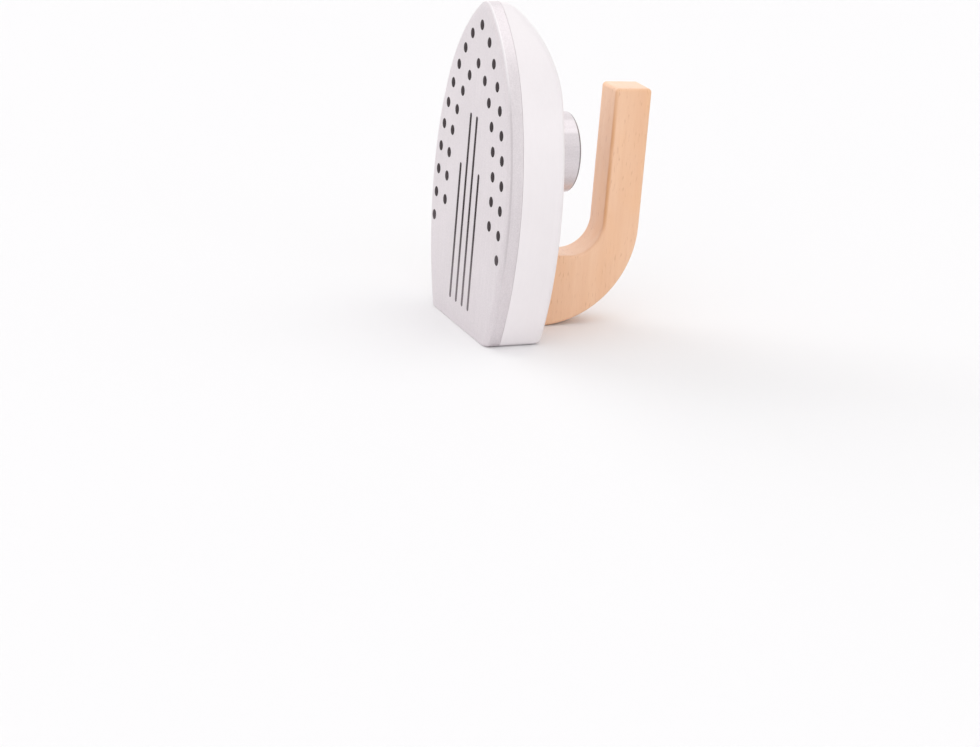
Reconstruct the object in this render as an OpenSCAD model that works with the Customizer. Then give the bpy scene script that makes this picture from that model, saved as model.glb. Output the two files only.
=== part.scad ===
// Toy iron that stands on its heel: a sole plate, a body block, a hook-shaped
// handle and a dial that turns on a dowel.
// Each piece is drawn with the iron lying on its sole: X runs across, Y from
// the heel to the tip and Z up from the sole face. standing() then turns it up
// on its heel, which is cut at a slant so that the iron leans back a little.
// The origin is at the middle of the heel.

/* [Sole plate] */
// Length of the sole from the heel to the tip
sole_len = 160; // [150:1:172]
// Greatest width of the sole
sole_w = 105; // [98:1:112]
// Width of the heel, before its corners are rounded
heel_w = 77.5; // [71:0.5:85]
// Distance from the heel to the widest place
widest_y = 64; // [56:1:70]
// Radius of the side ahead of the widest place, as a share of one plain arc
front_side_share = 1.17; // [1.08:0.01:1.26]
// Radius of the side where it turns in to the tip, as a share of one plain arc
nose_side_share = 0.72; // [0.62:0.01:0.8]
// Radius of the tip
tip_r = 11.5; // [9:0.5:14]
// Radius of the two heel corners
heel_corner_r = 4; // [3:0.5:6]
// Slant of the heel, which is how far the iron leans back when it stands
heel_lean = 2.2; // [1:0.1:4]
// Thickness of the plate
plate_t = 7.5; // [6.5:0.5:9]
// Radius of the border along the sides of the sole face, which falls away to the edge
border_r = 5; // [4:0.5:6]
// Angle that the border turns through before it meets the edge
border_angle = 45; // [35:1:50]
// Rounding of the edge between the border and the side, and of the heel's edge
edge_r = 0.6; // [0.3:0.1:0.8]
// Bevel of the edge next to the body
plate_bevel = 0.2; // [0.1:0.1:0.5]

/* [Body block] */
// Thickness of the body block
body_t = 21.5; // [19:0.5:25]
// Rounding of the upper edges
body_round = 3; // [2:0.5:3.5]
// Length of the nose that curves down to the tip
nose_len = 38; // [30:1:46]
// Rounding of the upper edges at the tip
nose_round = 9; // [5:0.5:12]

/* [Handle] */
// Width of the handle across the iron
handle_w = 19; // [17:0.5:23]
// Thickness of the grip
grip_t = 19; // [17:0.5:22]
// Clear height between the body and the grip
grip_gap = 39.2; // [37:0.2:46]
// Distance from the heel to the free end of the grip
grip_end_y = 120.2; // [112:0.2:128]
// Length of the foot along the body
foot_len = 37; // [34:0.5:40]
// Radius of the bend inside the hook
inner_bend_r = 16; // [12:1:20]
// Radius of the bend outside the hook
outer_bend_r = 50; // [46:1:54]
// Rounding of the handle's edges
handle_round = 1.7; // [1.2:0.1:2.6]
// Radius of the corners at the free end, as a share of the edge rounding
end_corner_share = 1.2; // [1.15:0.05:1.5]

/* [Dial] */
// Diameter of the dial
dial_d = 39; // [34:1:41]
// Height of the dial
dial_h = 18.8; // [17:0.2:21]
// Distance from the heel to the dial's axis
dial_y = 87; // [82:1:90]
// Rounding of the dial's rim
dial_round = 1.2; // [0.6:0.1:1.8]
// Diameter of the axle
axle_d = 10; // [8:0.5:12]
// Depth of the axle's socket in the dial
socket_depth = 12; // [10:0.5:14]
// Running clearance around the axle, on the radius
axle_clear = 0.05; // [0.03:0.01:0.09]
// Play of the dial along its axle, at each end
dial_play = 0.3; // [0.2:0.05:0.5]
// Diameter of the felt washer under the dial
felt_d = 28; // [24:1:32]
// Thickness of the felt washer
felt_t = 1; // [0.8:0.1:1.5]
// Diameter of the retaining washer
washer_d = 20; // [18:0.5:22]
// Thickness of the retaining washer
washer_t = 1.5; // [1.2:0.1:1.8]
// Depth of the recess that hides the retaining washer
recess_depth = 6; // [5.5:0.1:7]
// Free space around the retaining washer, on the radius
recess_clear = 2; // [1.5:0.1:3]

/* [Fasteners] */
// Shank diameter of the screws
screw_d = 4; // [3.5:0.1:4.5]
// Clearance around the screws and the dowels, on the radius
glue_clear = 0.05; // [0.02:0.01:0.09]
// Length of the handle screws
handle_screw_len = 40; // [36:1:43]
// Head diameter of the handle screws
handle_screw_head_d = 8.4; // [7.5:0.1:9]
// Depth that the heads sit below the body's underside
head_sink = 0.4; // [0.3:0.1:1]
// Distance from the heel to the first handle screw
first_screw_y = 10.5; // [9.5:0.5:12]
// Distance between the handle screws
screw_pitch = 15; // [13:0.5:17]
// Length of the dial screw under its head
dial_screw_len = 20; // [16:1:22]
// Head diameter of the dial screw
dial_screw_head_d = 8; // [7:0.1:9]
// Head height of the dial screw
dial_screw_head_h = 2.4; // [2:0.1:2.8]
// Diameter of the sole dowels
dowel_d = 8; // [6:0.5:9]
// Length of the sole dowels
dowel_len = 12; // [11:0.5:14]
// Depth of the dowel holes in the plate
dowel_sink = 4.5; // [4:0.1:5]
// Distance from the heel to the rear dowel
rear_dowel_y = 50; // [44:1:56]
// Distance from the heel to the front dowel
front_dowel_y = 124; // [118:1:128]

/* [Hidden] */

// Smoothness
round_steps = 6;
edge_steps = 4;
corner_steps = 6;
rear_steps = 16;
front_steps = 12;
nose_steps = 14;
tip_steps = 12;
bend_steps = 30;
$fn = 96;

// Reach of a cut past the face that it opens
cut_over = 1;
// Angle on the tip's arc at which both sides stop, so that the tip is a narrow flat
tip_angle = 88;
// Largest share of a section that its corner rounding may take
corner_share = 0.55;
// End diameter of a screw's point, as a share of its shank
point_share = 0.15;
// Length of a screw's point, as a share of its shank
point_len_share = 1.5;
// Width and depth of a screw's cross slot, as shares of its head
slot_width_share = 0.14;
slot_len_share = 0.6;
slot_depth_share = 0.45;
// Bevel at the ends of dowels and of the axle, as a share of the diameter
dowel_bevel_share = 0.08;
// Room past the end of a dowel or a screw in its hole
hole_room = 0.4;

// Heights
body_top = plate_t + body_t;
grip_low = body_top + grip_gap;
grip_top = grip_low + grip_t;
heel_depth = body_top / cos(heel_lean);
felt_top = body_top + felt_t;
dial_low = felt_top + dial_play;
recess_top = plate_t + recess_depth;
axle_low = recess_top - dial_play;
axle_top = dial_low + socket_depth;
nose_y = sole_len - nose_len;
screw_ys = [first_screw_y, first_screw_y + screw_pitch];
dowel_ys = [rear_dowel_y, front_dowel_y];
handle_screw_head_h = (handle_screw_head_d - screw_d) / 2;

// Outline of the sole, right side: a chain of arcs
half_w = sole_w / 2;
waist = half_w - heel_w / 2;
rear_r = (waist * waist + widest_y * widest_y) / (2 * waist);
rear_c = [half_w - rear_r, widest_y];
tip_c = [0, sole_len - tip_r];
tip_dy = tip_c.y - widest_y;
plain_r = (half_w * half_w + tip_dy * tip_dy - tip_r * tip_r) / (2 * (half_w - tip_r));
front_r = plain_r * front_side_share;
nose_r = plain_r * nose_side_share;
front_c = [half_w - front_r, widest_y];
nose_c = circle_meet(front_c, front_r - nose_r, tip_c, nose_r - tip_r);
front_angle = heading(front_c, nose_c);
nose_angle = heading(nose_c, tip_c);

// Side view of the handle in the plane of Y and Z: the arcs outside and inside the hook, from foot
// to end; the outer one starts on the slant of the heel
end_r = handle_round * end_corner_share;
outer_z = grip_top - outer_bend_r;
outer_y = slant(outer_z) + outer_bend_r / cos(heel_lean);
outer_bend = [outer_y, outer_z, outer_bend_r, 180 - heel_lean, 90, bend_steps];
outer_corner = [grip_end_y - end_r, grip_top - end_r, end_r, 90, 0, corner_steps];
inner_bend = [foot_len + inner_bend_r, grip_low - inner_bend_r, inner_bend_r, 180, 90, bend_steps];
inner_corner = [grip_end_y - end_r, grip_low + end_r, end_r, -90, 0, corner_steps];

// Direction from one point to another
function heading(from, to) = atan2(to.y - from.y, to.x - from.x);

// Point at two given distances from two centres, on the outer side of the line between them
function circle_meet(a, ra, b, rb) =
    let (d = norm(b - a))
    let (along = (ra * ra - rb * rb + d * d) / (2 * d))
    let (aside = sqrt(max(0, ra * ra - along * along)))
    let (dir = (b - a) / d)
    a + dir * along + [dir.y, -dir.x] * aside;

// Point of an arc after a number of its steps, moved in by a distance; an arc is
// [centre x, centre y, radius, first angle, last angle, steps]
function arc_point(arc, step, inset = 0) =
    let (angle = arc[3] + (arc[4] - arc[3]) * step / arc[5])
    [arc[0] + (arc[2] - inset) * cos(angle), arc[1] + (arc[2] - inset) * sin(angle)];

// All points of an arc, moved in by a distance
function arc_points(arc, inset = 0) = [for (i = [0 : arc[5]]) arc_point(arc, i, inset)];

// Arcs of the sole's right side from the heel to the tip; side and heel move in by their own distances
function side_arcs(inset, heel_in) =
    let (corner_dy = widest_y - heel_in - heel_corner_r)
    let (corner_dx = sqrt(pow(rear_r - inset - heel_corner_r, 2) - corner_dy * corner_dy))
    let (corner_angle = atan2(-corner_dy, corner_dx))
    [
        [rear_c.x + corner_dx, heel_in + heel_corner_r, heel_corner_r, -90, corner_angle, corner_steps],
        [rear_c.x, rear_c.y, rear_r - inset, corner_angle, 0, rear_steps],
        [front_c.x, front_c.y, front_r - inset, 0, front_angle, front_steps],
        [nose_c.x, nose_c.y, nose_r - inset, front_angle, nose_angle, nose_steps],
        [tip_c.x, tip_c.y, tip_r - inset, nose_angle, tip_angle, tip_steps]
    ];

// Points of the sole's right side; arcs share their end points
function side_points(inset = 0, heel_in = 0) =
    let (arcs = side_arcs(inset, heel_in))
    concat([arc_point(arcs[0], 0)], [for (arc = arcs) for (i = [1 : arc[5]]) arc_point(arc, i)]);

// Closed outline of the sole
function sole_outline(inset = 0, heel_in = 0) =
    let (right = side_points(inset, heel_in))
    concat(right, [for (i = [len(right) - 1 : -1 : 0]) [-right[i].x, right[i].y]]);

// Distance that the heel's rounded edge has moved in at a height
function heel_inset(z) = edge_r - sqrt(pow(edge_r, 2) - pow(max(0, edge_r - z), 2));

// Distance along the sole at which the slanted heel stands at a height
function slant(z) = z * tan(heel_lean);

// Point moved with the slant of the heel, less and less up to the widest place
function slanted(p) = [p.x, p.y + slant(p.z) * max(0, 1 - p.y / widest_y), p.z];

// Closed side view of the handle, moved in by a distance: up the outside, then back down the inside
function hook_outline(inset) =
    let (rear_foot = [slant(body_top) + inset / cos(heel_lean), body_top])
    let (front_foot = [foot_len - inset, body_top])
    let (outside = concat([rear_foot], arc_points(outer_bend, inset), arc_points(outer_corner, inset)))
    let (inside = concat([front_foot], arc_points(inner_bend, -inset), arc_points(inner_corner, inset)))
    concat(outside, [for (i = [len(inside) - 1 : -1 : 0]) inside[i]]);

// Height of the body's upper face at a distance from the heel
function body_height(y) =
    y < body_round ? body_top - body_round + sqrt(pow(body_round, 2) - pow(body_round - y, 2))
    : y > nose_y ? plate_t + body_t * sqrt(1 - pow((y - nose_y) / nose_len, 2))
    : body_top;

// Cross section of the body where the outline passes a point
function body_section(at) =
    let (top = body_height(at.y))
    let (wide_r = body_round + (nose_round - body_round) * max(0, at.y - nose_y) / nose_len)
    let (r = min(wide_r, corner_share * at.x, corner_share * (top - plate_t)))
    let (turn = [for (i = [0 : round_steps]) r * [cos(90 * i / round_steps), sin(90 * i / round_steps)]])
    concat(
        [[at.x, at.y, plate_t]],
        [for (p = turn) [at.x - r + p.x, at.y, top - r + p.y]],
        [for (i = [round_steps : -1 : 0]) [r - at.x - turn[i].x, at.y, top - r + turn[i].y]],
        [[-at.x, at.y, plate_t]]
    );

// Points of one ring after another
function flatten(rings) = [for (ring = rings) each ring];

// Faces of a closed loft through rings of n points, n being even; strips across each end close it
function loft_faces(rings, n) =
    let (last = (rings - 1) * n)
    concat(
        [for (i = [0 : n / 2 - 2]) [i, i + 1, n - 2 - i, n - 1 - i]],
        [for (k = [0 : rings - 2]) for (i = [0 : n - 1])
            [k * n + i, (k + 1) * n + i, (k + 1) * n + (i + 1) % n, k * n + (i + 1) % n]],
        [for (i = [0 : n / 2 - 2]) [last + i, last + n - 1 - i, last + n - 2 - i, last + i + 1]]
    );

// Solid through a list of rings
module loft(rings) {
    polyhedron(points = flatten(rings), faces = loft_faces(len(rings), len(rings[0])), convexity = 6);
}

// Turns a piece that lies on the sole up onto its slanted heel
module standing() {
    translate([0, -heel_depth / 2, 0])
        rotate([90 + heel_lean, 0, 180])
            children();
}

// Cylinder between two heights with the same small bevel at both ends
module dowel(d, low, high, bevel) {
    translate([0, 0, low])
        rotate_extrude()
            polygon([
                [0, 0],
                [d / 2 - bevel, 0],
                [d / 2, bevel],
                [d / 2, high - low - bevel],
                [d / 2 - bevel, high - low],
                [0, high - low]
            ]);
}

// Screw shank with a point, from its root upwards
module shank(d, length) {
    point_len = d * point_len_share;
    rotate_extrude()
        polygon([
            [0, 0],
            [d / 2, 0],
            [d / 2, length - point_len],
            [d / 2 * point_share, length],
            [0, length]
        ]);
}

// Cross slot cut up into a screw head from below
module cross_slot(head_d, head_h) {
    slot_w = head_d * slot_width_share;
    slot_len = head_d * slot_len_share;
    slot_h = head_h * slot_depth_share;
    for (angle = [0, 90])
        rotate([0, 0, angle])
            translate([-slot_len / 2, -slot_w / 2, -cut_over])
                cube([slot_len, slot_w, slot_h + cut_over]);
}

// Plate with sides whose border falls away, rounded edges and a fine bevel next to the body
module soleplate_blank() {
    border_in = border_r * sin(border_angle) + edge_r * (1 - sin(border_angle));
    edge_z = border_r * (1 - cos(border_angle)) + edge_r * cos(border_angle);
    border = [
        for (i = [0 : round_steps])
            let (angle = border_angle * i / round_steps)
            [border_in - border_r * sin(angle), border_r * (1 - cos(angle))]
    ];
    edge = [
        for (i = [1 : edge_steps])
            let (angle = border_angle + (90 - border_angle) * i / edge_steps)
            [edge_r * (1 - sin(angle)), edge_z - edge_r * cos(angle)]
    ];
    profile = concat(border, edge, [[0, plate_t - plate_bevel], [plate_bevel, plate_t]]);
    loft([for (p = profile) [for (q = sole_outline(p[0], heel_inset(p[1]))) slanted([q.x, q.y, p[1]])]]);
}

// Body with rounded upper edges and a nose that curves down to the tip
module body_blank() {
    loft([for (at = side_points()) [for (q = body_section(at)) slanted(q)]]);
}

// Hook with rounded edges, cut square where its foot stands on the body
module handle_blank() {
    turn = [for (i = [0 : round_steps]) 90 * i / round_steps];
    edge = [for (a = turn) [handle_round * (1 - cos(a)), handle_w / 2 - handle_round * (1 - sin(a))]];
    profile = concat(
        [for (i = [round_steps : -1 : 0]) [edge[i][0], -edge[i][1]]],
        edge
    );
    loft([for (p = profile) [for (q = hook_outline(p[0])) [p[1], q.x, q.y]]]);
}

module soleplate() {
    color("silver")
        standing()
            difference() {
                soleplate_blank();
                for (y = dowel_ys)
                    translate([0, y, plate_t - dowel_sink])
                        cylinder(h = dowel_sink + cut_over, d = dowel_d + 2 * glue_clear);
            }
}

module body_block() {
    dowel_hole = dowel_len - dowel_sink + hole_room;
    head_low = plate_t + head_sink;
    color("white")
        standing()
            difference() {
                body_blank();
                for (y = dowel_ys)
                    translate([0, y, plate_t - cut_over])
                        cylinder(h = dowel_hole + cut_over, d = dowel_d + 2 * glue_clear);
                translate([0, dial_y, 0]) {
                    cylinder(h = body_top + cut_over, d = axle_d + 2 * axle_clear);
                    cylinder(h = recess_top, d = washer_d + 2 * recess_clear);
                }
                for (y = screw_ys)
                    translate([0, y, 0]) {
                        cylinder(h = body_top + cut_over, d = screw_d + 2 * glue_clear);
                        cylinder(h = head_low, d = handle_screw_head_d);
                        translate([0, 0, head_low])
                            cylinder(h = handle_screw_head_h, d1 = handle_screw_head_d, d2 = screw_d);
                    }
            }
}

module handle() {
    pilot_len = plate_t + head_sink + handle_screw_len - body_top + hole_room;
    color("burlywood")
        standing()
            difference() {
                handle_blank();
                for (y = screw_ys)
                    translate([0, y, body_top - cut_over])
                        cylinder(h = pilot_len + cut_over, d = screw_d + 2 * glue_clear);
            }
}

module handle_screws() {
    color("gainsboro")
        standing()
            for (y = screw_ys)
                translate([0, y, plate_t + head_sink])
                    difference() {
                        union() {
                            cylinder(h = handle_screw_head_h, d1 = handle_screw_head_d, d2 = screw_d);
                            shank(screw_d, handle_screw_len);
                        }
                        cross_slot(handle_screw_head_d, handle_screw_head_h);
                    }
}

module sole_dowels() {
    color("tan")
        standing()
            for (y = dowel_ys)
                translate([0, y, 0])
                    dowel(
                        dowel_d,
                        plate_t - dowel_sink,
                        plate_t - dowel_sink + dowel_len,
                        dowel_d * dowel_bevel_share
                    );
}

module dial_knob() {
    r = dial_d / 2;
    turn = [for (i = [0 : round_steps]) 90 * i / round_steps];
    rim = [for (a = turn) [r - dial_round * (1 - sin(a)), dial_round * (1 - cos(a))]];
    color("silver")
        standing()
            translate([0, dial_y, dial_low])
                difference() {
                    rotate_extrude()
                        polygon(concat(
                            [[0, 0]],
                            rim,
                            [for (i = [round_steps : -1 : 0]) [rim[i].x, dial_h - rim[i].y]],
                            [[0, dial_h]]
                        ));
                    translate([0, 0, -cut_over])
                        cylinder(h = socket_depth + cut_over, d = axle_d + 2 * glue_clear);
                }
}

module dial_axle() {
    color("burlywood")
        standing()
            translate([0, dial_y, 0])
                difference() {
                    dowel(axle_d, axle_low, axle_top, axle_d * dowel_bevel_share);
                    translate([0, 0, axle_low - cut_over])
                        cylinder(
                            h = dial_screw_len - washer_t + hole_room + cut_over,
                            d = screw_d + 2 * glue_clear
                        );
                }
}

module dial_felt_washer() {
    color("dimgray")
        standing()
            translate([0, dial_y, body_top])
                difference() {
                    cylinder(h = felt_t, d = felt_d);
                    translate([0, 0, -cut_over])
                        cylinder(h = felt_t + 2 * cut_over, d = axle_d + 2 * recess_clear);
                }
}

module dial_retaining_washer() {
    color("gainsboro")
        standing()
            translate([0, dial_y, axle_low - washer_t])
                difference() {
                    cylinder(h = washer_t, d = washer_d);
                    translate([0, 0, -cut_over])
                        cylinder(h = washer_t + 2 * cut_over, d = screw_d + 2 * glue_clear);
                }
}

module dial_screw() {
    color("gainsboro")
        standing()
            translate([0, dial_y, axle_low - washer_t - dial_screw_head_h])
                difference() {
                    union() {
                        cylinder(h = dial_screw_head_h, d = dial_screw_head_d);
                        shank(screw_d, dial_screw_len + dial_screw_head_h);
                    }
                    cross_slot(dial_screw_head_d, dial_screw_head_h);
                }
}

soleplate();
body_block();
handle();
handle_screws();
sole_dowels();
dial_knob();
dial_axle();
dial_felt_washer();
dial_retaining_washer();
dial_screw();
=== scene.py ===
"""Looks of the wooden play iron: its dressed meshes, finishes, light and camera.

Pieces are drawn with the iron lying on its sole, in millimetres: x to the right for someone who
looks at the sole, y from the heel to the tip and z up from the sole face. Stance then stands each
point up in the frame, in metres.
"""

import logging
import math
from dataclasses import dataclass
from enum import Enum
from typing import Any, Callable, Sequence

import bmesh
import bpy
from mathutils import Euler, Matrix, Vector


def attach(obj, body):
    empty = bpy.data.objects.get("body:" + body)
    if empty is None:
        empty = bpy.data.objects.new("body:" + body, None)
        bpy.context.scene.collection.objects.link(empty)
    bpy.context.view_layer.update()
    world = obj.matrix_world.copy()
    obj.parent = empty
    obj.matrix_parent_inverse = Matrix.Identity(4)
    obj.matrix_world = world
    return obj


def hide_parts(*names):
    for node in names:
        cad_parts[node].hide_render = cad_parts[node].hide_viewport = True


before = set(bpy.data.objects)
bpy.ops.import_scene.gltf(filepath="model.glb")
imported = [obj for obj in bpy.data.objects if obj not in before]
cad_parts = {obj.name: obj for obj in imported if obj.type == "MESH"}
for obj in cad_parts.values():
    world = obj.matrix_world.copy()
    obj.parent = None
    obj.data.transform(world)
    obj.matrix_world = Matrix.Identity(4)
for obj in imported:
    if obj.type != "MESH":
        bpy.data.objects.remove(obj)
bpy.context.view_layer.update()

LOG = logging.getLogger("play_iron")
# A millimetre in metres
MM = 0.001
# The middle of a noise value
MIDDLE = 0.5
# A quarter turn
QUARTER = math.pi / 2
# Faces that meet at more than this are shaded apart
SHARP_EDGE = math.radians(40)

Span = tuple[float, float]
Point = tuple[float, float]
Place = tuple[float, float, float]
Colour = tuple[float, float, float, float]


def srgb(red: int, green: int, blue: int) -> Colour:
    """Linear colour of a display colour.

    Args:
        red: Display red, 0 to 255.
        green: Display green, 0 to 255.
        blue: Display blue, 0 to 255.

    Returns:
        The linear colour with full alpha.
    """
    def linear(value: int) -> float:
        """One channel, display to linear."""
        share = value / 255
        return share / 12.92 if share <= 0.04045 else ((share + 0.055) / 1.055) ** 2.4

    return linear(red), linear(green), linear(blue), 1.0


class Side(Enum):
    """The two sides of the iron, as the sign of x."""

    LEFT = -1
    RIGHT = 1


class Body(Enum):
    """The rigid bodies that pieces ride on."""

    IRON = "iron"
    DIAL = "dial"


class Slot(Enum):
    """Material slot names for the dressed pieces; nothing in this script gives a piece a slot."""

    SILVER = "silver_paint"
    WHITE = "white_lacquer"
    BEECH = "beech"


# Shader wiring


class Wire:
    """A value socket of a material; arithmetic on it adds Math nodes."""

    def __init__(self, sheet: "NodeSheet", socket: bpy.types.NodeSocket) -> None:
        """Keeps the sheet of nodes and the socket."""
        self.sheet = sheet
        self.socket = socket

    def math(self, operation: str, *values: "Wire | float") -> "Wire":
        """The result of a Math node on some values, this one among them."""
        inputs = dict(enumerate(values))
        return self.sheet.node("ShaderNodeMath", {"operation": operation}, inputs)

    def __add__(self, other: "Wire | float") -> "Wire":
        """This value plus another."""
        return self.math("ADD", self, other)

    def __radd__(self, other: float) -> "Wire":
        """A number plus this value."""
        return self.math("ADD", other, self)

    def __sub__(self, other: "Wire | float") -> "Wire":
        """This value less another."""
        return self.math("SUBTRACT", self, other)

    def __rsub__(self, other: float) -> "Wire":
        """A number less this value."""
        return self.math("SUBTRACT", other, self)

    def __mul__(self, other: "Wire | float") -> "Wire":
        """This value times another."""
        return self.math("MULTIPLY", self, other)

    def __rmul__(self, other: float) -> "Wire":
        """A number times this value."""
        return self.math("MULTIPLY", other, self)

    def clamped(self) -> "Wire":
        """This value held between 0 and 1."""
        return self.math("MAXIMUM", self.math("MINIMUM", self, 1.0), 0.0)

    def swing(self, share: float) -> "Wire":
        """A noise value taken around its middle, times a share."""
        return (self - MIDDLE) * share


@dataclass(frozen=True)
class Layer:
    """A layer of noise in a finish: lumps to the metre, and how far it moves the tone."""

    scale: float
    share: float = 0.0
    detail: float = 2.0
    rough: float = 0.5
    stretch: Place | None = None


class NodeSheet:
    """The node tree of one material or world."""

    def __init__(self, tree: bpy.types.NodeTree) -> None:
        """Empties the tree and keeps it."""
        tree.nodes.clear()
        self.tree = tree

    def node(
        self,
        kind: str,
        settings: dict[str, Any] | None = None,
        inputs: dict[str | int, Any] | None = None,
        output: str | int = 0,
    ) -> Wire:
        """Adds a node, sets it and links it.

        Args:
            kind: The node's type.
            settings: Its properties, set first.
            inputs: Values or wires by socket name or number.
            output: The socket to hand on, by name or number.

        Returns:
            The wire from that socket.
        """
        made = self.tree.nodes.new(kind)
        for key, value in (settings or {}).items():
            setattr(made, key, value)
        for key, value in (inputs or {}).items():
            socket = self.pick(made.inputs, key)
            if isinstance(value, Wire):
                self.tree.links.new(value.socket, socket)
            else:
                socket.default_value = value
        result = self.pick(made.outputs, output) if len(made.outputs) else None
        return Wire(self, result)

    @staticmethod
    def pick(sockets: Any, key: str | int) -> bpy.types.NodeSocket:
        """The socket of that number, or the one in use of that name.

        Args:
            sockets: The inputs or outputs of a node.
            key: A name or a number.

        Returns:
            The socket.
        """
        if isinstance(key, int):
            return sockets[key]
        return next(socket for socket in sockets if socket.name == key and socket.enabled)

    def place(self) -> Wire:
        """The point on the piece, in the frame's metres."""
        return self.node("ShaderNodeTexCoord", output="Object")

    def lying(self, lean: float) -> Wire:
        """The point turned by the iron's lean, so that z runs along the sole and y off it."""
        inputs = {"Vector": self.place(), "Angle": lean}
        return self.node("ShaderNodeVectorRotate", {"rotation_type": "X_AXIS"}, inputs)

    def noise(self, point: Wire, layer: Layer) -> Wire:
        """A noise value around its middle.

        Args:
            point: Where it is read.
            layer: Its scale, octaves and stretch.

        Returns:
            The noise value.
        """
        if layer.stretch:
            inputs = {0: point, 1: layer.stretch}
            point = self.node("ShaderNodeVectorMath", {"operation": "MULTIPLY"}, inputs)
        inputs = {"Vector": point, "Scale": layer.scale, "Detail": layer.detail, "Roughness": layer.rough}
        return self.node("ShaderNodeTexNoise", None, inputs, "Fac")

    def step(self, value: Wire, low: float, high: float) -> Wire:
        """A smooth step from 0 at low to 1 at high."""
        inputs = {"Value": value, "From Min": low, "From Max": high}
        return self.node("ShaderNodeMapRange", {"interpolation_type": "SMOOTHSTEP"}, inputs)

    def axis(self, point: Wire, name: str) -> Wire:
        """One coordinate of a point."""
        return self.node("ShaderNodeSeparateXYZ", None, {0: point}, name)

    def mask(self, name: str) -> Wire:
        """A value that the mesh carries on its points."""
        return self.node("ShaderNodeAttribute", {"attribute_name": name}, None, "Fac")

    def blend(self, share: Wire, low: Wire | Colour, high: Wire | Colour) -> Wire:
        """A colour between two others, the first where the share is 0 and the second where it is 1."""
        inputs = {"Factor": share, "A": low, "B": high}
        return self.node("ShaderNodeMix", {"data_type": "RGBA"}, inputs, "Result")

    def bump(self, height: Wire, distance: float, strength: float) -> Wire:
        """A normal from a height of about 0 to 1, where 1 stands for a distance in metres."""
        inputs = {"Height": height, "Distance": distance, "Strength": strength}
        return self.node("ShaderNodeBump", None, inputs, "Normal")

    def surface(self, inputs: dict[str, Any]) -> None:
        """Ends the sheet with one Principled shader."""
        shader = self.node("ShaderNodeBsdfPrincipled", None, inputs)
        self.node("ShaderNodeOutputMaterial", None, {"Surface": shader})


# Finishes


@dataclass(frozen=True)
class Finish:
    """A finish; each kind paints its own sheet of nodes. The depth of its bump is in metres."""

    name: str
    roughness: float = 0.4
    bump_depth: float = 0.00005
    bump_strength: float = 0.3

    def paint(self, sheet: NodeSheet) -> None:
        """Fills the sheet; each kind has its own."""
        raise NotImplementedError

    def material(self) -> bpy.types.Material:
        """The material of this finish, made once.

        Returns:
            The material.
        """
        known = bpy.data.materials.get(self.name)
        if known:
            return known
        made = bpy.data.materials.new(self.name)
        made.use_nodes = True
        self.paint(NodeSheet(made.node_tree))
        return made


@dataclass(frozen=True)
class SilverPaint(Finish):
    """Satin silver paint with fine flake, brushed on in faint streaks, with painted shade and a painted
    highlight along its rim.
    """

    lean: float = 0.0
    dark: Colour = srgb(207, 200, 203)
    light: Colour = srgb(230, 223, 226)
    cloud: Layer = Layer(scale=28.0, share=0.5)
    flake: Layer = Layer(scale=1500.0, share=1.2, rough=0.6)
    streak: Layer = Layer(scale=900.0, share=0.45, stretch=(1.0, 1.0, 0.05))
    # Painted light on the rim: rim_low is painted shade lower down, rim_high takes over towards the tip;
    # by default both are a dark painted shade
    rim_low: Colour = srgb(104, 98, 101)
    rim_high: Colour = srgb(104, 98, 101)
    rim_share: float = 0.0
    rim_start: Span = (-0.02, -0.01)
    rim_turn: Span = (0.11, 0.135)
    metallic: float = 0.6
    flake_roughness: float = 0.2
    bump_strength: float = 0.2

    def paint(self, sheet: NodeSheet) -> None:
        """Flake, clouds and streaks in the colour, painted shade and a painted highlight on the rim,
        flake in the roughness and bump.

        Args:
            sheet: The sheet of nodes to fill.
        """
        point = sheet.lying(self.lean)
        cloud = sheet.noise(point, self.cloud)
        flake = sheet.noise(point, self.flake)
        streak = sheet.noise(point, self.streak)
        tone = MIDDLE + cloud.swing(self.cloud.share) + flake.swing(self.flake.share)
        tone = tone + streak.swing(self.streak.share)
        colour = sheet.blend(tone.clamped(), self.dark, self.light)
        along = sheet.axis(point, "Z")
        # Painted shade along the rim, turning to rim_high's colour (a painted highlight where it is
        # light) towards the tip
        rim = sheet.mask("edge") * sheet.step(along, *self.rim_start)
        rim_colour = sheet.blend(sheet.step(along, *self.rim_turn), self.rim_low, self.rim_high)
        sheet.surface({
            "Base Color": sheet.blend(rim * self.rim_share, colour, rim_colour),
            "Metallic": self.metallic,
            "Roughness": self.roughness + flake.swing(self.flake_roughness),
            "Normal": sheet.bump(flake, self.bump_depth, self.bump_strength),
        })


@dataclass(frozen=True)
class WhiteLacquer(Finish):
    """Satin white lacquer with a faint orange peel over fine wood."""

    lean: float = 0.0
    dark: Colour = srgb(232, 226, 228)
    light: Colour = srgb(244, 239, 241)
    cloud: Layer = Layer(scale=24.0, share=0.9, detail=3.0)
    grain: Layer = Layer(scale=700.0, share=0.25, stretch=(1.0, 1.0, 0.06))
    peel: Layer = Layer(scale=420.0, detail=1.0)
    peel_roughness: float = 0.16
    grain_height: float = 0.3
    bump_strength: float = 0.25
    coat: float = 0.15
    coat_roughness: float = 0.25

    def paint(self, sheet: NodeSheet) -> None:
        """Soft clouds in the colour, peel and faint grain in the bump.

        Args:
            sheet: The sheet of nodes to fill.
        """
        point = sheet.lying(self.lean)
        cloud = sheet.noise(point, self.cloud)
        grain = sheet.noise(point, self.grain)
        peel = sheet.noise(point, self.peel)
        tone = MIDDLE + cloud.swing(self.cloud.share) + grain.swing(self.grain.share)
        height = peel + grain * self.grain_height
        sheet.surface({
            "Base Color": sheet.blend(tone.clamped(), self.dark, self.light),
            "Roughness": self.roughness + peel.swing(self.peel_roughness),
            "Normal": sheet.bump(height, self.bump_depth, self.bump_strength),
            "Coat Weight": self.coat,
            "Coat Roughness": self.coat_roughness,
        })


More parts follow.
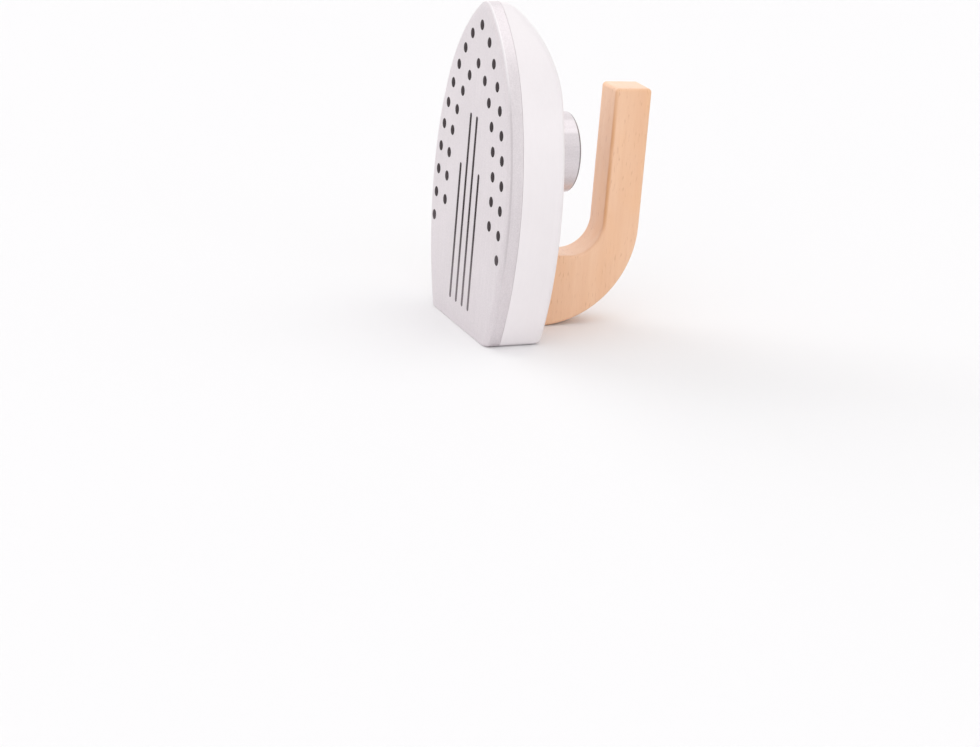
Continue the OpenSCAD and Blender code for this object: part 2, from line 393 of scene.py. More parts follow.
@dataclass(frozen=True)
class Beech(Finish):
    """Light beech under thin varnish: bands, fine pores, ray flecks and edges darkened from above the
    foot on, less towards the end.
    """

    lean: float = 0.0
    pale: Colour = srgb(245, 203, 170)
    deep: Colour = srgb(235, 185, 147)
    sway: Layer = Layer(scale=45.0, share=1.1, stretch=(1.0, 1.0, 0.25))
    bands: Layer = Layer(scale=260.0, share=1.1, detail=3.0, rough=0.55, stretch=(1.0, 1.0, 0.045))
    pores: Layer = Layer(scale=1900.0, share=0.5, rough=0.6, stretch=(1.0, 1.0, 0.06))
    amber: Colour = srgb(242, 189, 141)
    warmth: Layer = Layer(scale=55.0, share=0.5, stretch=(1.0, 1.0, 0.4))
    warm_rise: Span = (0.45, 0.7)
    fleck: Colour = srgb(196, 136, 95)
    ray: Layer = Layer(scale=950.0, share=0.5, detail=1.0, stretch=(1.0, 1.0, 0.22))
    ray_rise: Span = (0.58, 0.8)
    patch: Layer = Layer(scale=60.0, detail=1.0)
    patch_rise: Span = (0.3, 0.6)
    # Colour of the darker edges, strongest from above the foot and weaker towards the end
    edge: Colour = srgb(220, 162, 110)
    edge_darkening: Layer = Layer(scale=38.0, share=0.8)
    edge_darkening_rise: Span = (0.25, 0.55)
    edge_darkening_low: Span = (0.046, 0.058)
    edge_darkening_high: Span = (0.09, 0.118)
    edge_darkening_loss: float = 0.5
    pore_roughness: float = 0.3
    fleck_roughness: float = 0.12
    fleck_depth: float = 0.6
    bump_depth: float = 0.00012
    bump_strength: float = 0.4
    coat: float = 0.35
    coat_roughness: float = 0.3

    def paint(self, sheet: NodeSheet) -> None:
        """Grain that runs along the sole, with flecks and darker edges.

        Args:
            sheet: The sheet of nodes to fill.
        """
        point = sheet.lying(self.lean)
        sway = sheet.noise(point, self.sway)
        bands = sheet.noise(point, self.bands)
        pores = sheet.noise(point, self.pores)
        tone = MIDDLE + sway.swing(self.sway.share) + bands.swing(self.bands.share)
        tone = tone + pores.swing(self.pores.share)
        colour = sheet.blend(tone.clamped(), self.pale, self.deep)
        warm = sheet.step(sheet.noise(point, self.warmth), *self.warm_rise)
        colour = sheet.blend(warm * self.warmth.share, colour, self.amber)
        patch = sheet.step(sheet.noise(point, self.patch), *self.patch_rise)
        flecks = sheet.step(sheet.noise(point, self.ray), *self.ray_rise) * patch
        colour = sheet.blend(flecks * self.ray.share, colour, self.fleck)
        rough = self.roughness + pores.swing(self.pore_roughness)
        height = pores - flecks * self.fleck_depth
        sheet.surface({
            "Base Color": sheet.blend(self.darkened_edges(sheet, point), colour, self.edge),
            "Roughness": rough + flecks * self.fleck_roughness,
            "Coat Weight": self.coat,
            "Coat Roughness": self.coat_roughness,
            "Normal": sheet.bump(height, self.bump_depth, self.bump_strength),
        })

    def darkened_edges(self, sheet: NodeSheet, point: Wire) -> Wire:
        """How far the edges are darkened: from above the foot on, less towards the end, in patches.

        Args:
            sheet: The sheet of nodes to add to.
            point: The point on the piece.

        Returns:
            The share of the edge colour.
        """
        along = sheet.axis(point, "Z")
        edge_darkening = sheet.mask("edge") * sheet.step(along, *self.edge_darkening_low)
        edge_darkening = edge_darkening * (1.0 - self.edge_darkening_loss * sheet.step(along, *self.edge_darkening_high))
        edge_darkening = edge_darkening * sheet.step(sheet.noise(point, self.edge_darkening), *self.edge_darkening_rise)
        return edge_darkening * self.edge_darkening.share


@dataclass(frozen=True)
class PrintInk(Finish):
    """Warm black printing ink, a little uneven, with painted sheen that makes it paler towards the heel.
    """

    dark: Colour = srgb(28, 18, 21)
    light: Colour = srgb(52, 39, 43)
    speck: Layer = Layer(scale=1300.0, share=1.2, rough=0.6)
    cloud: Layer = Layer(scale=40.0, share=0.8, detail=1.0)
    # Painted sheen: towards the heel the ink is mixed with this paler colour
    heel_sheen: Colour = srgb(134, 124, 128)
    heel_sheen_share: float = 0.65
    heel_sheen_rise: Span = (0.01, 0.06)
    roughness: float = 0.6
    speck_roughness: float = 0.4
    specular: float = 0.2
    bump_depth: float = 0.00003

    def paint(self, sheet: NodeSheet) -> None:
        """Fine speckle and painted sheen towards the heel in the colour, speckle in the roughness.

        Args:
            sheet: The sheet of nodes to fill.
        """
        point = sheet.place()
        speck = sheet.noise(point, self.speck)
        cloud = sheet.noise(point, self.cloud)
        tone = MIDDLE + speck.swing(self.speck.share) + cloud.swing(self.cloud.share)
        # Painted sheen: paler ink towards the heel
        sheen = (1.0 - sheet.step(sheet.axis(point, "Z"), *self.heel_sheen_rise)) * self.heel_sheen_share
        colour = sheet.blend(tone.clamped(), self.dark, self.light)
        sheet.surface({
            "Base Color": sheet.blend(sheen, colour, self.heel_sheen),
            "Roughness": self.roughness + speck.swing(self.speck_roughness),
            "Specular IOR Level": self.specular,
            "Normal": sheet.bump(speck, self.bump_depth, self.bump_strength),
        })


@dataclass(frozen=True)
class ZincSteel(Finish):
    """Zinc-plated steel with spangle and turning marks."""

    dark: Colour = srgb(160, 160, 164)
    light: Colour = srgb(206, 206, 208)
    spangle: Layer = Layer(scale=420.0, detail=3.0, rough=0.6)
    marks: Layer = Layer(scale=800.0, stretch=(1.0, 9.0, 1.0))
    metallic: float = 1.0
    roughness: float = 0.3
    mark_roughness: float = 0.3
    bump_depth: float = 0.00004

    def paint(self, sheet: NodeSheet) -> None:
        """Spangle in the colour, fine marks in the roughness.

        Args:
            sheet: The sheet of nodes to fill.
        """
        point = sheet.place()
        marks = sheet.noise(point, self.marks)
        sheet.surface({
            "Base Color": sheet.blend(sheet.noise(point, self.spangle), self.dark, self.light),
            "Metallic": self.metallic,
            "Roughness": self.roughness + marks.swing(self.mark_roughness),
            "Normal": sheet.bump(marks, self.bump_depth, self.bump_strength),
        })


@dataclass(frozen=True)
class PressedFelt(Finish):
    """Grey pressed felt with loose fibres."""

    dark: Colour = srgb(128, 126, 127)
    light: Colour = srgb(174, 171, 172)
    fibre: Layer = Layer(scale=2600.0, share=1.2, detail=3.0, rough=0.7)
    clump: Layer = Layer(scale=500.0, share=0.8)
    roughness: float = 0.95
    bump_depth: float = 0.0002
    bump_strength: float = 0.6

    def paint(self, sheet: NodeSheet) -> None:
        """Fibres in the colour and the bump.

        Args:
            sheet: The sheet of nodes to fill.
        """
        point = sheet.place()
        fibre = sheet.noise(point, self.fibre)
        clump = sheet.noise(point, self.clump)
        tone = MIDDLE + fibre.swing(self.fibre.share) + clump.swing(self.clump.share)
        sheet.surface({
            "Base Color": sheet.blend(tone.clamped(), self.dark, self.light),
            "Roughness": self.roughness,
            "Normal": sheet.bump(fibre + clump, self.bump_depth, self.bump_strength),
        })


# Shapes


@dataclass(frozen=True)
class Stance:
    """How the iron, drawn lying on its sole, stands on its slanted heel."""

    lean: float = math.radians(2.2)
    height: float = 29.0

    def stand(self, x: float, y: float, z: float) -> Vector:
        """The standing place, in the frame's metres, of a point drawn lying in millimetres."""
        cos, sin = math.cos(self.lean), math.sin(self.lean)
        return MM * Vector((x, z * cos + y * sin - self.height / cos / 2, y * cos - z * sin))

    def slant(self, z: float) -> float:
        """How far along the sole the heel stands at a height."""
        return z * math.tan(self.lean)


@dataclass(frozen=True)
class Arc:
    """An arc in a plane, walked from its first angle to its last, in radians."""

    centre: Point
    radius: float
    first: float
    last: float
    steps: int

    def point(self, step: int, inset: float = 0.0) -> Point:
        """The point after some steps, moved in towards the centre.

        Args:
            step: How many steps along the arc.
            inset: How far the point moves in.

        Returns:
            The point.
        """
        angle = self.first + (self.last - self.first) * step / self.steps
        reach = self.radius - inset
        return self.centre[0] + reach * math.cos(angle), self.centre[1] + reach * math.sin(angle)

    def points(self, inset: float = 0.0, start: int = 0) -> list[Point]:
        """All points from a step on, moved in towards the centre."""
        return [self.point(step, inset) for step in range(start, self.steps + 1)]


def heading(start: Point, end: Point) -> float:
    """Direction from one point to another, in radians."""
    return math.atan2(end[1] - start[1], end[0] - start[0])


def circle_meet(start: Point, start_r: float, end: Point, end_r: float) -> Point:
    """The point at two distances from two centres, on the right of the way between them.

    Args:
        start: The first centre.
        start_r: Distance from it.
        end: The second centre.
        end_r: Distance from that one.

    Returns:
        The point.
    """
    span = math.dist(start, end)
    along = (start_r ** 2 - end_r ** 2 + span ** 2) / (2 * span)
    aside = math.sqrt(max(0.0, start_r ** 2 - along ** 2))
    way_x, way_y = (end[0] - start[0]) / span, (end[1] - start[1]) / span
    return start[0] + way_x * along + way_y * aside, start[1] + way_y * along - way_x * aside


def turn(steps: int) -> list[float]:
    """Angles of a quarter turn."""
    return [QUARTER * step / steps for step in range(steps + 1)]


class Builder:
    """Gathers lofted shells into one mesh and makes the piece of it."""

    def __init__(self, name: str) -> None:
        """Starts an empty mesh of that name.

        Args:
            name: The piece's name.
        """
        self.name = name
        self.mesh = bmesh.new()
        self.edge = self.mesh.verts.layers.float.new("edge")

    def loft(self, rings: Sequence[Sequence[Vector]], edges: Sequence[Sequence[float]] = ()) -> None:
        """Adds a closed shell through rings of points.

        Args:
            rings: Closed rings, one after another, of equal length.
            edges: The edge mask of each point, where the finish reads it.
        """
        made = [[self.mesh.verts.new(place) for place in ring] for ring in rings]
        for row, marks in zip(made, edges):
            for vert, mark in zip(row, marks):
                vert[self.edge] = mark
        count = len(made[0])
        for low, high in zip(made, made[1:]):
            for here in range(count):
                after = (here + 1) % count
                self.mesh.faces.new((low[here], low[after], high[after], high[here]))
        self.mesh.faces.new(made[0])
        self.mesh.faces.new(made[-1])

    def piece(self, finish: Finish, body: Body) -> bpy.types.Object:
        """Ends the mesh and makes it a piece that rides on a body.

        Args:
            finish: The finish that it gets.
            body: The body that it rides on.

        Returns:
            The piece.
        """
        bmesh.ops.recalc_face_normals(self.mesh, faces=self.mesh.faces)
        data = bpy.data.meshes.new(self.name)
        self.mesh.to_mesh(data)
        self.mesh.free()
        data.polygons.foreach_set("use_smooth", [True] * len(data.polygons))
        data.set_sharp_from_angle(angle=SHARP_EDGE)
        data.materials.append(finish.material())
        made = bpy.data.objects.new(self.name, data)
        bpy.context.scene.collection.objects.link(made)
        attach(made, body.value)
        faces = len(data.polygons)
        LOG.info("%s: %d faces, %s, rides on %s", self.name, faces, finish.name, body.value)
        return made


@dataclass(frozen=True)
class SoleOutline:
    """Outline of the sole: a chain of arcs that meet without a corner."""

    length: float = 160.0
    width: float = 105.0
    heel_width: float = 77.5
    widest_y: float = 64.0
    front_side_share: float = 1.17
    nose_side_share: float = 0.72
    tip_r: float = 11.5
    corner_r: float = 4.0
    tip_angle: float = math.radians(88)
    steps: tuple[int, int, int, int, int] = (10, 40, 34, 40, 24)

    def arcs(self, inset: float, heel_in: float) -> list[Arc]:
        """Arcs of the right side, from the heel corner to the tip.

        Args:
            inset: How far the side moves in.
            heel_in: How far the heel moves in.

        Returns:
            The arcs.
        """
        half = self.width / 2
        waist = half - self.heel_width / 2
        rear_r = (waist ** 2 + self.widest_y ** 2) / (2 * waist)
        rear = (half - rear_r, self.widest_y)
        rise = self.widest_y - heel_in - self.corner_r
        across = math.sqrt((rear_r - inset - self.corner_r) ** 2 - rise ** 2)
        corner = (rear[0] + across, heel_in + self.corner_r)
        corner_end = math.atan2(-rise, across)
        tip = (0.0, self.length - self.tip_r)
        reach = tip[1] - self.widest_y
        plain_r = (half ** 2 + reach ** 2 - self.tip_r ** 2) / (2 * (half - self.tip_r))
        front_r = plain_r * self.front_side_share
        nose_r = plain_r * self.nose_side_share
        front = (half - front_r, self.widest_y)
        nose = circle_meet(front, front_r - nose_r, tip, nose_r - self.tip_r)
        front_end, nose_end = heading(front, nose), heading(nose, tip)
        spans = [
            (corner, self.corner_r, -QUARTER, corner_end),
            (rear, rear_r - inset, corner_end, 0.0),
            (front, front_r - inset, 0.0, front_end),
            (nose, nose_r - inset, front_end, nose_end),
            (tip, self.tip_r - inset, nose_end, self.tip_angle),
        ]
        return [Arc(*span, steps) for span, steps in zip(spans, self.steps)]

    def side(self, inset: float = 0.0, heel_in: float = 0.0) -> list[Point]:
        """Points of the right side, with the side and the heel moved in.

        Args:
            inset: How far the side moves in.
            heel_in: How far the heel moves in.

        Returns:
            The points, from the heel to the tip.
        """
        arcs = self.arcs(inset, heel_in)
        points = arcs[0].points()
        for arc in arcs[1:]:
            points += arc.points(start=1)
        return points

    def closed(self, inset: float = 0.0, heel_in: float = 0.0) -> list[Point]:
        """Points of the whole outline, with the side and the heel moved in."""
        right = self.side(inset, heel_in)
        return right + [(-x, y) for x, y in reversed(right)]

    def fade(self, y: float) -> float:
        """Share of the heel's slant that is left at a distance from the heel."""
        return max(0.0, 1.0 - y / self.widest_y)


@dataclass(frozen=True)
class DotRow:
    """A row of printed dots along two sides that rise to a point."""

    half_width: float
    spring_y: float
    side_r: float
    nose_r: float
    point_y: float
    first: float
    pitch: float
    count: int
    top_dot: Point
    shift: float = 0.0

    def path(self) -> tuple[Point, float, Point, float]:
        """Centres and turning angles of the side's two arcs.

        Returns:
            The side's centre, the angle where the nose's arc takes over, the nose's centre and
            the angle at which that arc reaches the middle.
        """
        side = (self.half_width - self.side_r, self.spring_y)
        nose = circle_meet(side, self.side_r - self.nose_r, (0.0, self.point_y), self.nose_r)
        return side, heading(side, nose), nose, heading(nose, (0.0, self.point_y))

    def at(self, run: float) -> Point:
        """The point of the right side at a distance from its upper end.

        Args:
            run: The distance along the row.

        Returns:
            The point.
        """
        side, meet, nose, end = self.path()
        nose_run = self.nose_r * (end - meet)
        side_run = self.side_r * meet
        if run < nose_run:
            angle = end - run / self.nose_r
            return nose[0] + self.nose_r * math.cos(angle), nose[1] + self.nose_r * math.sin(angle)
        if run < nose_run + side_run:
            angle = meet - (run - nose_run) / self.side_r
            return side[0] + self.side_r * math.cos(angle), side[1] + self.side_r * math.sin(angle)
        return self.half_width, self.spring_y - (run - nose_run - side_run)

    def dots(self) -> list[Point]:
        """Centres of all the row's dots.

        Returns:
            The centres, the top dot first.
        """
        centres = [self.top_dot]
        for side in Side:
            for step in range(self.count):
                x, y = self.at(self.first + step * self.pitch - side.value * self.shift)
                centres.append((side.value * x, y))
        return centres


@dataclass(frozen=True)
class PrintLine:
    """A printed line that runs along the sole."""

    x: float
    low: float
    high: float


# Sub-assemblies


@dataclass
class SolePlate:
    """The silver sole plate and the print on its face."""

    stance: Stance
    outline: SoleOutline
    thickness: float = 7.5
    border_r: float = 5.0
    border_angle: float = math.radians(45)
    edge_r: float = 0.6
    bevel: float = 0.2
    edge_fade: float = 0.55
    border_steps: int = 10
    edge_steps: int = 8
    dot_r: float = 2.53
    line_w: float = 2.5
    ink_height: float = 0.04
    ink_slope: float = 0.1
    ink_root: float = 0.05
    dot_steps: int = 32
    rows: tuple[DotRow, ...] = (
        DotRow(
            half_width=44.456,
            spring_y=31.162,
            side_r=673.24,
            nose_r=103.573,
            point_y=151.913,
            first=15.099,
            pitch=11.816,
            count=10,
            top_dot=(0.2, 148.5),
        ),
        DotRow(
            half_width=31.078,
            spring_y=70.745,
            side_r=77.081,
            nose_r=69.638,
            point_y=131.367,
            first=13.649,
            pitch=11.875,
            count=7,
            top_dot=(-0.6, 129.8),
            shift=1.11,
        ),
    )
    line_axis: float = -0.69
    line_low: float = 10.7
    line_tops: tuple[Point, ...] = ((4.19, 104.85), (12.57, 78.5))

    def profile(self) -> list[tuple[float, float, float]]:
        """Inset, height and edge mask of each ring, from the face to the seam.

        Returns:
            The rings.
        """
        sin, cos = math.sin(self.border_angle), math.cos(self.border_angle)
        inside = self.border_r * sin + self.edge_r * (1 - sin)
        edge_z = self.border_r * (1 - cos) + self.edge_r * cos
        rings = []
        for step in range(self.border_steps + 1):
            angle = self.border_angle * step / self.border_steps
            mark = max(0.0, 1.0 - (self.border_steps - step) * self.edge_fade)
            inset = inside - self.border_r * math.sin(angle)
            rings.append((inset, self.border_r * (1 - math.cos(angle)), mark))
        for step in range(1, self.edge_steps + 1):
            angle = self.border_angle + (QUARTER - self.border_angle) * step / self.edge_steps
            inset = self.edge_r * (1 - math.sin(angle))
            rings.append((inset, edge_z - self.edge_r * math.cos(angle), 1.0))
        rings.append((0.0, edge_z + self.edge_r / 2, 0.0))
        return rings + [(0.0, self.thickness - self.bevel, 0.0), (self.bevel, self.thickness, 0.0)]

    def ring(self, inset: float, z: float) -> list[Vector]:
        """One standing ring of the plate.

        Args:
            inset: How far the side moves in.
            z: Height of the ring over the sole face.

        Returns:
            The ring's points in the frame.
        """
        slant = self.stance.slant(z)
        fade = self.outline.fade
        heel_in = self.edge_r - math.sqrt(self.edge_r ** 2 - max(0.0, self.edge_r - z) ** 2)
        points = self.outline.closed(inset, heel_in)
        return [self.stance.stand(x, y + slant * fade(y), z) for x, y in points]

    def build_plate(self, finish: Finish) -> bpy.types.Object:
        """The plate, with a border that falls away around its face.

        Args:
            finish: The finish that it gets.

        Returns:
            The piece.
        """
        builder = Builder("sole_plate_paint")
        profile = self.profile()
        rings = [self.ring(inset, z) for inset, z, _ in profile]
        builder.loft(rings, [[mark] * len(rings[0]) for _, _, mark in profile])
        made = builder.piece(finish, Body.IRON)
        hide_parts("soleplate")
        return made

    def pad(self, builder: Builder, outline: Callable[[float], list[Point]]) -> None:
        """Adds one print of thin ink.

        Args:
            builder: The mesh it goes into.
            outline: Gives the closed outline, moved in by a distance.
        """
        levels = [(0.0, self.ink_root), (0.0, -self.ink_height / 2), (self.ink_slope, -self.ink_height)]
        rings = [[self.stance.stand(x, y, z) for x, y in outline(inset)] for inset, z in levels]
        builder.loft(rings)

    def dot(self, centre: Point) -> Callable[[float], list[Point]]:
        """The outline of a dot around a centre."""
        rim = Arc(centre, self.dot_r, 0.0, 2 * math.pi, self.dot_steps)
        return lambda inset: rim.points(inset, 1)

    def line(self, line: PrintLine) -> Callable[[float], list[Point]]:
        """The outline of a line with round ends.

        Args:
            line: The printed line.

        Returns:
            Gives the closed outline, moved in by a distance.
        """
        end_r, half = self.line_w / 2, self.dot_steps // 2
        upper = Arc((line.x, line.high - end_r), end_r, 0.0, math.pi, half)
        lower = Arc((line.x, line.low + end_r), end_r, math.pi, 2 * math.pi, half)
        return lambda inset: upper.points(inset) + lower.points(inset)

    def build_print(self, finish: Finish) -> bpy.types.Object:
        """The dots and lines on the face.

        Args:
            finish: The finish that it gets.

        Returns:
            The piece.
        """
        builder = Builder("sole_print_ink")
        for row in self.rows:
            for centre in row.dots():
                self.pad(builder, self.dot(centre))
        for across, high in self.line_tops:
            for side in Side:
                line = PrintLine(self.line_axis + side.value * across, self.line_low, high)
                self.pad(builder, self.line(line))
        return builder.piece(finish, Body.IRON)


@dataclass
class BodyBlock:
    """The white block with rounded upper edges and a nose that curves down to the tip."""

    stance: Stance
    outline: SoleOutline
    low: float = 7.5
    thickness: float = 21.5
    rounding: float = 3.0
    nose_len: float = 38.0
    nose_rounding: float = 9.0
    corner_share: float = 0.55
    steps: int = 10

    def top(self, y: float) -> float:
        """Height of the upper face at a distance from the heel.

        Args:
            y: The distance from the heel.

        Returns:
            The height over the sole face.
        """
        high = self.low + self.thickness
        nose_y = self.outline.length - self.nose_len
        if y < self.rounding:
            return high - self.rounding + math.sqrt(self.rounding ** 2 - (self.rounding - y) ** 2)
        if y > nose_y:
            return self.low + self.thickness * math.sqrt(1 - ((y - nose_y) / self.nose_len) ** 2)
        return high

    def section(self, x: float, y: float) -> list[Vector]:
        """Standing cross section where the outline passes a point.

        Args:
            x: Half the width there.
            y: The distance from the heel.

        Returns:
            The section's points in the frame.
        """
        top = self.top(y)
        nose_y = self.outline.length - self.nose_len
        grown = (self.nose_rounding - self.rounding) * max(0.0, y - nose_y) / self.nose_len
        radius = min(self.rounding + grown, self.corner_share * x, self.corner_share * (top - self.low))
        corner = Arc((x - radius, top - radius), radius, 0.0, QUARTER, self.steps)
        right = [(x, self.low)] + corner.points()
        around = right + [(-across, z) for across, z in reversed(right)]
        fade = self.outline.fade(y)
        slant = self.stance.slant
        return [self.stance.stand(across, y + slant(z) * fade, z) for across, z in around]

    def build(self, finish: Finish) -> bpy.types.Object:
        """The block.

        Args:
            finish: The finish that it gets.

        Returns:
            The piece.
        """
        builder = Builder("body_block_lacquer")
        builder.loft([self.section(x, y) for x, y in self.outline.side()])
        made = builder.piece(finish, Body.IRON)
        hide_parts("body_block")
        return made


@dataclass
class HookHandle:
    """The beech handle: a foot on the body, a bend and a straight grip in one piece."""

    stance: Stance
    width: float = 19.0
    thickness: float = 19.0
    gap: float = 39.2
    end_y: float = 120.2
    foot_len: float = 37.0
    inner_r: float = 16.0
    outer_r: float = 50.0
    rounding: float = 1.7
    end_share: float = 1.2
    outer_mark: float = 0.3
    bend_steps: int = 72
    corner_steps: int = 12
    edge_steps: int = 10

    def side_view(self, inset: float) -> list[Point]:
        """Closed side view, moved in by a distance: up the outside, back down the inside.

        Args:
            inset: How far the view moves in.

        Returns:
            The points, each by its distance from the heel and height.
        """
        foot = self.stance.height
        low = foot + self.gap
        high = low + self.thickness
        lean = self.stance.lean
        end_r = self.rounding * self.end_share
        bend_z = high - self.outer_r
        bend_y = self.stance.slant(bend_z) + self.outer_r / math.cos(lean)
        outer = Arc((bend_y, bend_z), self.outer_r, math.pi - lean, QUARTER, self.bend_steps)
        upper = Arc((self.end_y - end_r, high - end_r), end_r, QUARTER, 0.0, self.corner_steps)
        inner_centre = (self.foot_len + self.inner_r, low - self.inner_r)
        inner = Arc(inner_centre, self.inner_r, math.pi, QUARTER, self.bend_steps)
        lower = Arc((self.end_y - end_r, low + end_r), end_r, -QUARTER, 0.0, self.corner_steps)
        rear_foot = (self.stance.slant(foot) + inset / math.cos(lean), foot)
        outside = [rear_foot] + outer.points(inset) + upper.points(inset)
        inside = [(self.foot_len - inset, foot)] + inner.points(-inset) + lower.points(inset)
        return outside + inside[::-1]

    def build(self, finish: Finish) -> bpy.types.Object:
        """The handle, with its edges rounded.

        Args:
            finish: The finish that it gets.

        Returns:
            The piece.
        """
        builder = Builder("handle_beech")
        right = []
        for angle in turn(self.edge_steps):
            inset = self.rounding * (1 - math.cos(angle))
            x = self.width / 2 - self.rounding * (1 - math.sin(angle))
            right.append((inset, x, math.sin(2 * angle)))
        profile = [(inset, -x, mark) for inset, x, mark in reversed(right)] + right
        stand, view = self.stance.stand, self.side_view
        rings = [[stand(x, y, z) for y, z in view(inset)] for inset, x, _ in profile]
        half_count = len(rings[0]) // 2
        shares = [self.outer_mark] * half_count + [1.0] * half_count
        builder.loft(rings, [[mark * share for share in shares] for _, _, mark in profile])
        made = builder.piece(finish, Body.IRON)
        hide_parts("handle")
        return made


@dataclass
class TurningDial:
    """The silver dial that turns on the body's upper face."""

    stance: Stance
    diameter: float = 39.0
    height: float = 18.8
    centre_y: float = 87.0
    low: float = 30.3
    rounding: float = 1.2
    # How strongly the upper rim takes the dial's painted dark line, a painted shade
    rim_mark: float = 1.7
    edge_steps: int = 10
    around: int = 160

    def profile(self) -> list[tuple[float, float, float]]:
        """Radius, height and edge mask of each ring, from the lower face to the upper.

        Returns:
            The rings.
        """
        rim = []
        for angle in turn(self.edge_steps):
            radius = self.diameter / 2 - self.rounding * (1 - math.sin(angle))
            mark = min(1.0, self.rim_mark * math.sin(2 * angle))
            rim.append((radius, self.rounding * (1 - math.cos(angle)), mark))
        lower = [(radius, self.low + z, 0.0) for radius, z, _ in rim]
        upper = [(radius, self.low + self.height - z, mark) for radius, z, mark in reversed(rim)]
        return lower + upper

    def build(self, finish: Finish) -> bpy.types.Object:
        """The dial.

        Args:
            finish: The finish that it gets.

        Returns:
            The piece.
        """
        builder = Builder("dial_knob_paint")
        rings, marks = [], []
        for radius, z, mark in self.profile():
            circle = Arc((0.0, self.centre_y), radius, 0.0, 2 * math.pi, self.around)
            rings.append([self.stance.stand(x, y, z) for x, y in circle.points(start=1)])
            marks.append([mark] * self.around)
        builder.loft(rings, marks)
        made = builder.piece(finish, Body.DIAL)
        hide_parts("dial_knob")
        return made


@dataclass
class HiddenFixings:
    """The screws, dowels, axle and washers inside, which keep their own solids."""

    finishes: dict[str, Finish]

    def dress(self) -> None:
        """Gives each solid its finish."""
        for node, finish in self.finishes.items():
            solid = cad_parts[node]
            for slot in solid.material_slots:
                slot.material = finish.material()
            LOG.info("%s: %s", node, finish.name)


# Studio


@dataclass(frozen=True)
class PaleFloor(Finish):
    """A plain pale floor."""

    tone: Colour = srgb(240, 239, 240)
    roughness: float = 0.9
    specular: float = 0.1

    def paint(self, sheet: NodeSheet) -> None:
        """One matt pale tone."""
        gloss = {"Roughness": self.roughness, "Specular IOR Level": self.specular}
        sheet.surface({"Base Color": self.tone, **gloss})


@dataclass(frozen=True)
class SoftSun:
    """A broad soft light from one direction; angles in degrees, azimuth 0 in front of the sole."""

    name: str
    azimuth: float
    elevation: float
    strength: float
    spread: float
    mirrored: bool = True

    def hang(self) -> bpy.types.Object:
        """The lamp, turned to shine from its direction; gloss shows it only where it is mirrored.

        Returns:
            The lamp.
        """
        lamp = bpy.data.lights.new(self.name, "SUN")
        # A sun of pi lights a facing white surface to 1
        lamp.energy = self.strength * math.pi
        lamp.angle = math.radians(self.spread)
        made = bpy.data.objects.new(self.name, lamp)
        around, up = math.radians(self.azimuth), math.radians(self.elevation)
        level = math.cos(up)
        source = Vector((math.sin(around) * level, -math.cos(around) * level, math.sin(up)))
        made.rotation_euler = source.to_track_quat("Z", "Y").to_euler()
        made.visible_glossy = self.mirrored
        bpy.context.scene.collection.objects.link(made)
        return made


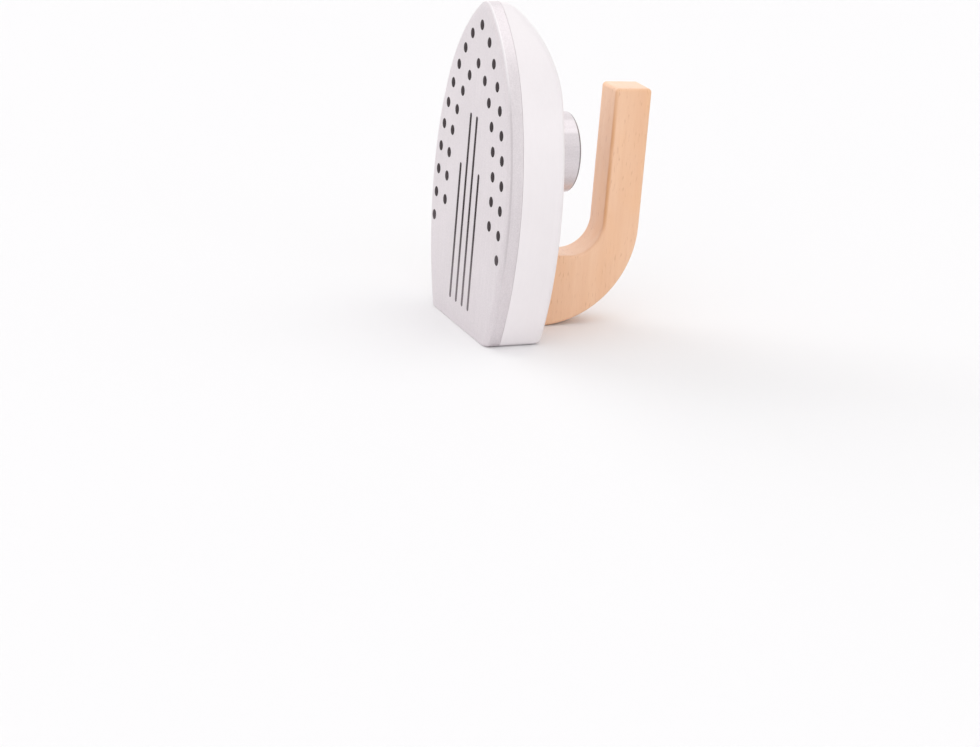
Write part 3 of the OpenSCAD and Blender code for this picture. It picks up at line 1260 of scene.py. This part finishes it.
@dataclass
class Studio:
    """Floor, soft light and the camera of the photograph."""

    floor_half: float = 6.0
    floor_z: float = -0.00005
    ambient: float = 0.42
    suns: tuple[SoftSun, ...] = (
        SoftSun("key_window", azimuth=-20.0, elevation=40.0, strength=0.15, spread=100.0, mirrored=False),
        SoftSun("front_window", azimuth=0.0, elevation=10.0, strength=0.1, spread=90.0, mirrored=False),
        SoftSun("left_window", azimuth=-62.0, elevation=15.0, strength=0.48, spread=60.0, mirrored=False),
        SoftSun("right_window", azimuth=78.0, elevation=12.0, strength=0.25, spread=80.0, mirrored=False),
        SoftSun("top_window", azimuth=68.0, elevation=58.0, strength=0.09, spread=70.0, mirrored=False),
        SoftSun("back_window", azimuth=150.0, elevation=60.0, strength=0.2, spread=110.0, mirrored=False),
        SoftSun("rear_glint", azimuth=-111.0, elevation=20.0, strength=0.06, spread=50.0),
        SoftSun("top_glint", azimuth=180.0, elevation=74.0, strength=0.12, spread=50.0),
    )
    camera_place: Place = (1.432858, -0.546077, 0.444082)
    camera_turn: Place = (72.9654, -2.68616, 69.8271)
    lens: float = 120.016
    sensor: float = 36.0
    clip: Span = (0.05, 40.0)

    def lay_floor(self) -> None:
        """The floor."""
        size = self.floor_half
        data = bpy.data.meshes.new("studio_floor")
        corners = [(-size, -size, 0), (size, -size, 0), (size, size, 0), (-size, size, 0)]
        data.from_pydata([Vector(corner) for corner in corners], [], [(0, 1, 2, 3)])
        data.materials.append(PaleFloor("pale_floor").material())
        floor = bpy.data.objects.new("studio_floor", data)
        floor.location.z = self.floor_z
        bpy.context.scene.collection.objects.link(floor)

    def light(self) -> None:
        """Even white surroundings and the lamps."""
        world = bpy.data.worlds.new("studio_white")
        world.use_nodes = True
        bpy.context.scene.world = world
        sheet = NodeSheet(world.node_tree)
        camera, gloss, clear = (
            sheet.node("ShaderNodeLightPath", None, None, ray)
            for ray in ("Is Camera Ray", "Is Glossy Ray", "Is Transmission Ray")
        )
        strength = self.ambient + (1.0 - self.ambient) * (camera + gloss + clear).clamped()
        inputs = {"Color": srgb(255, 255, 255), "Strength": strength}
        sky = sheet.node("ShaderNodeBackground", None, inputs)
        sheet.node("ShaderNodeOutputWorld", None, {"Surface": sky})
        for sun in self.suns:
            sun.hang()

    def aim(self) -> None:
        """The camera at the photograph's place, turn and lens."""
        data = bpy.data.cameras.new("photo_camera")
        data.lens, data.sensor_width = self.lens, self.sensor
        data.clip_start, data.clip_end = self.clip
        camera = bpy.data.objects.new("photo_camera", data)
        camera.location = self.camera_place
        camera.rotation_euler = Euler([math.radians(angle) for angle in self.camera_turn])
        bpy.context.scene.collection.objects.link(camera)
        bpy.context.scene.camera = camera

    def build(self) -> None:
        """All of it."""
        bpy.context.scene.view_settings.view_transform = "Standard"
        self.lay_floor()
        self.light()
        self.aim()


def main() -> None:
    """Builds and dresses the iron, then the studio around it."""
    logging.basicConfig(level=logging.INFO, format="%(name)s: %(message)s")
    stance = Stance()
    outline = SoleOutline()
    silver = SilverPaint(
        "silver_sole_paint",
        # Painted shade along the plate's edge from about 25 mm up, turning to a painted highlight near
        # the tip
        rim_low=srgb(176, 168, 171),
        rim_high=srgb(250, 247, 249),
        rim_share=0.45,
        rim_start=(0.025, 0.06),
        lean=stance.lean,
    )
    dial_silver = SilverPaint(
        "silver_dial_paint",
        # Painted shade: a dark line along the dial's upper rim
        rim_share=0.8,
        streak=Layer(scale=300.0, share=1.3, stretch=(1.0, 0.04, 1.0)),
        lean=stance.lean,
    )
    beech = Beech("varnished_beech", lean=stance.lean)
    steel = ZincSteel("zinc_steel")
    plate = SolePlate(stance, outline)
    plate.build_plate(silver)
    plate.build_print(PrintInk("print_ink"))
    BodyBlock(stance, outline).build(WhiteLacquer("white_body_lacquer", lean=stance.lean))
    HookHandle(stance).build(beech)
    TurningDial(stance).build(dial_silver)
    HiddenFixings({
        "handle_screws": steel,
        "sole_dowels": beech,
        "dial_axle": beech,
        "dial_felt_washer": PressedFelt("pressed_felt"),
        "dial_retaining_washer": steel,
        "dial_screw": steel,
    }).dress()
    Studio().build()


if __name__ == "__main__":
    main()
